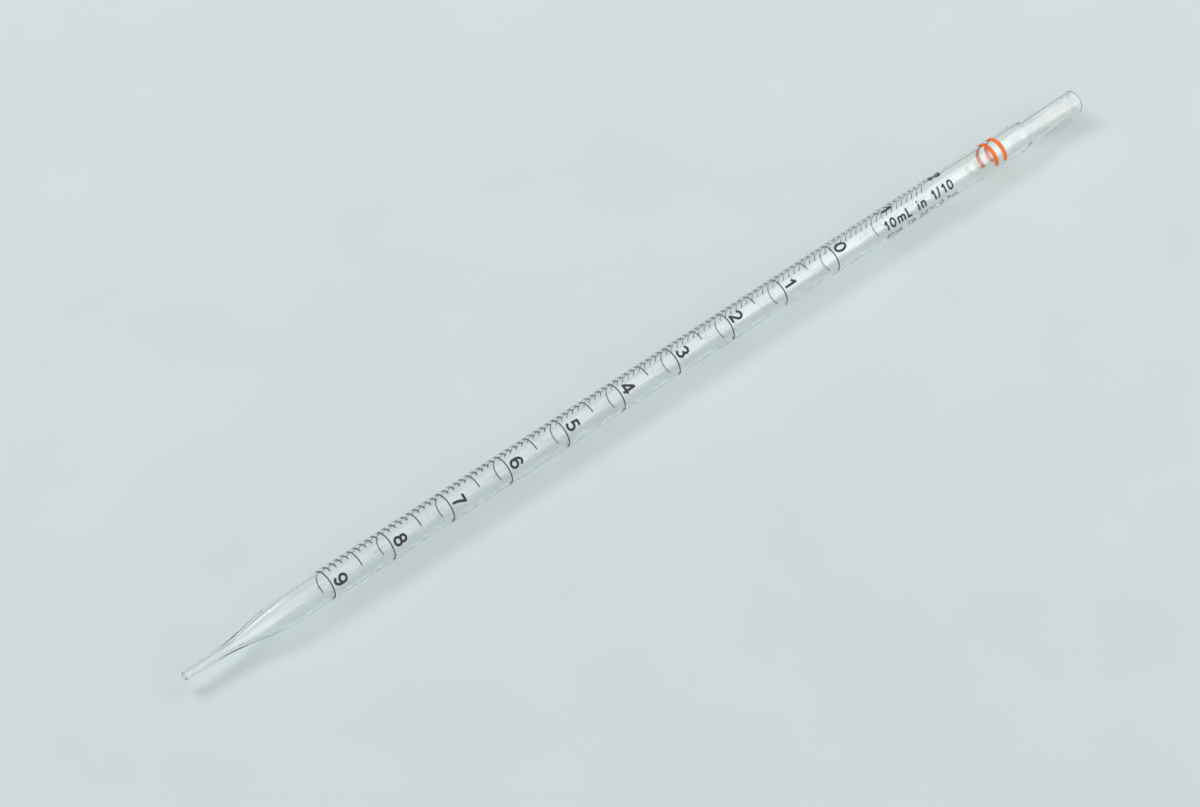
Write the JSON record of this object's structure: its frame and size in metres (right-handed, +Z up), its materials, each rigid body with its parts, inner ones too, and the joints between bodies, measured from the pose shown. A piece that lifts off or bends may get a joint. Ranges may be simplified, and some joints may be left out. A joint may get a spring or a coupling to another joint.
{
  "type": "graduated pipette",
  "caption": "Disposable clear plastic 10 mL serological pipette: a graduated tube with a tapered delivery tip and a narrower plugged mouthpiece, lying on its side.",
  "frame": {"origin": "on the surface that the pipette lies on, under the middle of its length", "axes": "+X along the pipette from its delivery tip to its mouth, +Z up, +Y across"},
  "size_m": [0.35, 0.0092, 0.0092],
  "materials": {
    "clear_polystyrene": "clear, glossy",
    "tip_polystyrene": "clear, glossy, moulded",
    "mouth_polystyrene": "clear, glossy, moulded",
    "plug_fibre": "pressed polyester fibre, matte",
    "scale_ink": "screen-printed ink, satin",
    "band_ink": "printed ink, slightly translucent"
  },
  "bodies": {
    "root": {"graduated_barrel": "clear_polystyrene", "delivery_tip": "tip_polystyrene", "mouthpiece": "mouth_polystyrene", "filter_plug": "plug_fibre"}
  },
  "joints": []
}
